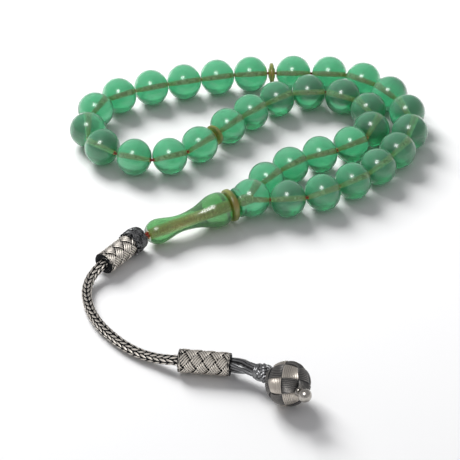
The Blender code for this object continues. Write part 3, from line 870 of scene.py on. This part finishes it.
def add_chain(materials):
    """The chain in six lengths. Each holds the place of one bend joint and meets the next midway
    between two of them.
    """
    route = chain_route()
    pivots = [route.nearest(pivot(f"chain_bend_{number}")) for number in range(1, 7)]
    middles = [(before + after) / 2 for before, after in zip(pivots, pivots[1:])]
    stops = [round(middle / STITCH_PITCH) * STITCH_PITCH for middle in middles]
    stops = [0.0, *stops, route.length]
    for number, (start, end) in enumerate(zip(stops, stops[1:])):
        shape = Shape()
        distances = np.linspace(start, end, int((end - start) / 0.5) + 2)
        _, lift = route.frames(distances)
        add_tube(shape, route.at(distances), lift, 0.8, 10, height=-1.2)
        add_stitches(shape, route, start, end)
        piece = shape.make(f"chain_length_{number + 1}", [materials["chain"]], "woven_silver")
        nodes = [f"chain_{number + 1}"]
        if number == 5:
            nodes.append("chain_7")
        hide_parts(*nodes)
        reach = 2.2
        route.at(pivots[number] - reach) * MM
        route.at(pivots[number] + reach) * MM
        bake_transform(piece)


# ---------------------------------------------------------------- cords, knot and ball

def ply_route(phase):
    """One of the three cords between the lower sleeve and the small knot."""
    sleeve = unit(LOWER_SLEEVE_END - LOWER_SLEEVE_START)
    start = LOWER_SLEEVE_END - sleeve * 1.4
    end = SMALL_KNOT_CENTRE - unit(SMALL_KNOT_CENTRE - LOWER_SLEEVE_END) * (SMALL_KNOT_RADIUS - 0.9)
    share = np.linspace(0, 1, 40)
    reach = np.linalg.norm(end - start)
    bow = sleeve * (reach * share * (1 - share) ** 2)[:, None]
    line = start + bow + (end - start) * share[:, None]
    spread = 1.0 + 0.3 * np.sin(math.pi * np.minimum(share * 2, 1)) - 0.1 * share
    away = around(phase + math.radians(50) * share, axes_along(end - start))
    return Route(line + away * spread[:, None])


def add_plies(materials):
    for number in range(1, 4):
        route = ply_route(2 * math.pi * number / 3 + 0.4)
        shape = Shape()
        twist_strands(shape, route, 6, spread=0.54, wire=0.31, pitch=60, sides=8, step=0.3,
                      height=0.1)
        distances = np.linspace(0, route.length, 20)
        _, lift = route.frames(distances)
        add_tube(shape, route.at(distances), lift, 0.6, 8, height=-1)
        piece = shape.make(f"cord_ply_{number}_wires", [materials["dark"]], "dark_silver")
        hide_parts(f"cord_ply_{number}")
        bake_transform(piece)


def knot_path(leads, bights, samples):
    """A Turk's head: longitude, share of the widest latitude, and over (1) or under (-1)."""
    turns = np.linspace(0, 2 * math.pi * leads, samples, endpoint=False)
    phase = bights * turns / leads
    share = np.arcsin(0.96 * np.cos(phase)) / math.asin(0.96)
    step = bights * turns / math.pi
    lap = np.mod(step, 2 * leads)
    rise = np.where(lap < leads, -np.cos(math.pi * step), np.cos(math.pi * step))
    near_edge = np.abs(np.mod(lap + leads / 2, leads) - leads / 2) < 0.5
    return turns, share, np.where(near_edge, 0, rise)


def add_small_knot(materials):
    """Loops of dark cord wound over each other, with a two-wire ring towards the cords."""
    rows = axes_along(BALL_CENTRE - SMALL_KNOT_CENTRE)
    shape = Shape()
    turns, share, rise = knot_path(3, 5, 420)
    out = on_sphere(turns, math.radians(58) * share, rows)
    along = unit(np.roll(out, -1, 0) - np.roll(out, 1, 0))
    sideways = np.cross(along, out)
    for offset in (-0.4, 0.4):
        points = SMALL_KNOT_CENTRE + out * (1.66 + 0.26 * rise)[:, None] + sideways * offset
        add_tube(shape, points, out, 0.46, 10, closed=True, height=0.1 + 0.2 * rise)
    core = [(0, -1.5)] + arc_points(1.5, 1.5, -75, 75, 11) + [(0, 1.5)]
    add_turned(shape, core, 24, SMALL_KNOT_CENTRE, rows, tone=-1)
    neck = axes_along(SMALL_KNOT_CENTRE - LOWER_SLEEVE_END)
    out = around(full_turn(48), neck)
    for number in range(2):
        ring = SMALL_KNOT_CENTRE - neck[2] * (2.0 - 0.55 * number) + out * (1.5 + 0.2 * number)
        add_tube(shape, ring, out, 0.42, 10, closed=True, height=0.35)
    piece = shape.make("small_knot_loops", [materials["dark"]], "dark_silver")
    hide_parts("small_knot")
    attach(piece, "plies")


def ball_rows():
    """The directions that the ball's bands are wound square to."""
    tilt = math.radians(CAMERA_ELEVATION)
    right = np.array((1.0, 0, 0))
    upward = np.array((0, math.sin(tilt), math.cos(tilt)))
    towards = np.array((0, -math.cos(tilt), math.sin(tilt)))
    face = unit(-0.31 * right + 0.33 * upward + 0.89 * towards)
    rise = unit(upward - (upward @ face) * face)
    return np.array((np.cross(rise, face), rise, face))


def add_ball_neck(shape):
    """Dark turns of cord that fill the gap to the small knot when the ball swings away."""
    rows = axes_along(SMALL_KNOT_CENTRE - BALL_CENTRE)
    out = around(full_turn(160), rows)
    for depth, radius in ((5.3, 1.75), (5.85, 1.35), (6.3, 0.9)):
        ring = BALL_CENTRE + rows[2] * depth + out * radius
        add_tube(shape, ring, out, 0.42, 10, closed=True, height=-0.1)
    core = [(0, 4.3), (1.3, 4.3), (1.3, 6.0), (0.9, 6.45), (0, 6.45)]
    add_turned(shape, core, 32, BALL_CENTRE, rows, tone=-0.6)


def add_knot_ball(materials):
    """Six flat bands of fine wire, two round each of three axes, plaited over and under."""
    rows = ball_rows()
    shape = Shape()
    wires = 9
    wire = 0.23
    swing = 0.27
    middle = BALL_RADIUS - wire - swing
    band_centre = math.radians(22.5)
    half_width = math.radians(19.6)
    turn = full_turn(160)
    squeeze = 0.44 * np.cos(2 * (turn - math.pi / 4)) ** 2
    rise = np.array([-weave_sign(4 * (angle - band_centre)) for angle in turn])
    for family in range(3):
        axes = (rows[(family + 1) % 3], rows[(family + 2) % 3], rows[family])
        # The first family's bands are lighter in tone than those of the other two.
        family_brightness = (0.26, -0.2, -0.2)[family]
        for side in (1, -1):
            for number in range(wires):
                share = 2 * number / (wires - 1) - 1
                offset = half_width * share * (1 - squeeze * (share > 0) * share)
                out = on_sphere(turn, side * (band_centre + offset), axes)
                radius = middle + swing * side * rise
                add_tube(shape, BALL_CENTRE + out * radius[:, None], out, wire, 6, closed=True,
                         height=family_brightness + 0.1 * side * rise)
    shell = arc_points(4.45, 4.45, -77, 77, 20) + arc_points(4.2, 4.2, 77, -77, 20)
    add_turned(shape, shell, 48, BALL_CENTRE, axes_along(BALL_BORE_DIRECTION), closed=True,
               tone=-1)
    add_ball_neck(shape)
    piece = shape.make("knot_ball_bands", [materials["ball"]], "dark_silver")
    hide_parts("knot_ball")
    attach(piece, "knot_ball")


def add_end_pieces(materials):
    """The small collar and the polished ball at the tassel's end."""
    axis = axes_along(BALL_BORE_DIRECTION)
    shape = Shape()
    collar = [(0, 5.4), (0.95, 5.4), (1.12, 5.5), (1.18, 5.65), (1.12, 5.82), (0.92, 5.92),
              (1.0, 6.02), (1.05, 6.14), (0.98, 6.27), (0.8, 6.35), (0, 6.35)]
    add_turned(shape, collar, 40, BALL_CENTRE, axis, tone=0.7)
    piece = shape.make("end_collar_turned", [materials["polished"]], "polished_silver")
    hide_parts("end_collar")
    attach(piece, "knot_ball")
    low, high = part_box("end_ball")
    centre = np.array((low + high) / 2) / MM
    shape = Shape()
    radius = END_BALL_RADIUS
    outline = [(0, -radius)] + arc_points(radius, radius, -82, 82, 25) + [(0, radius)]
    add_turned(shape, outline, 48, centre, axis, tone=0.8)
    piece = shape.make("end_ball_polished", [materials["polished"]], "polished_silver")
    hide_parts("end_ball")
    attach(piece, "knot_ball")


def dress_hidden_nodes(materials):
    """The pieces inside keep their CAD shape and take a material."""
    choices = {"thread_knot": "thread", "knot_ball_core": "wood", "end_wire": "dark"}
    for name, material in choices.items():
        for place in frame["nodes"][name].material_slots:
            place.material = materials[material]


add_camera()
add_floor()
add_studio()
looks = make_materials()
for bead in range(1, BEAD_COUNT + 1):
    add_bead(bead, looks)
for marker in (1, 2):
    add_marker(marker, looks)
add_stop_bead(looks)
add_spacer(looks)
add_imame(looks)
add_thread(looks)
add_cap(looks)
add_sleeves(looks)
add_chain(looks)
add_plies(looks)
add_small_knot(looks)
add_knot_ball(looks)
add_end_pieces(looks)
dress_hidden_nodes(looks)
bpy.context.scene.view_settings.view_transform = "Standard"
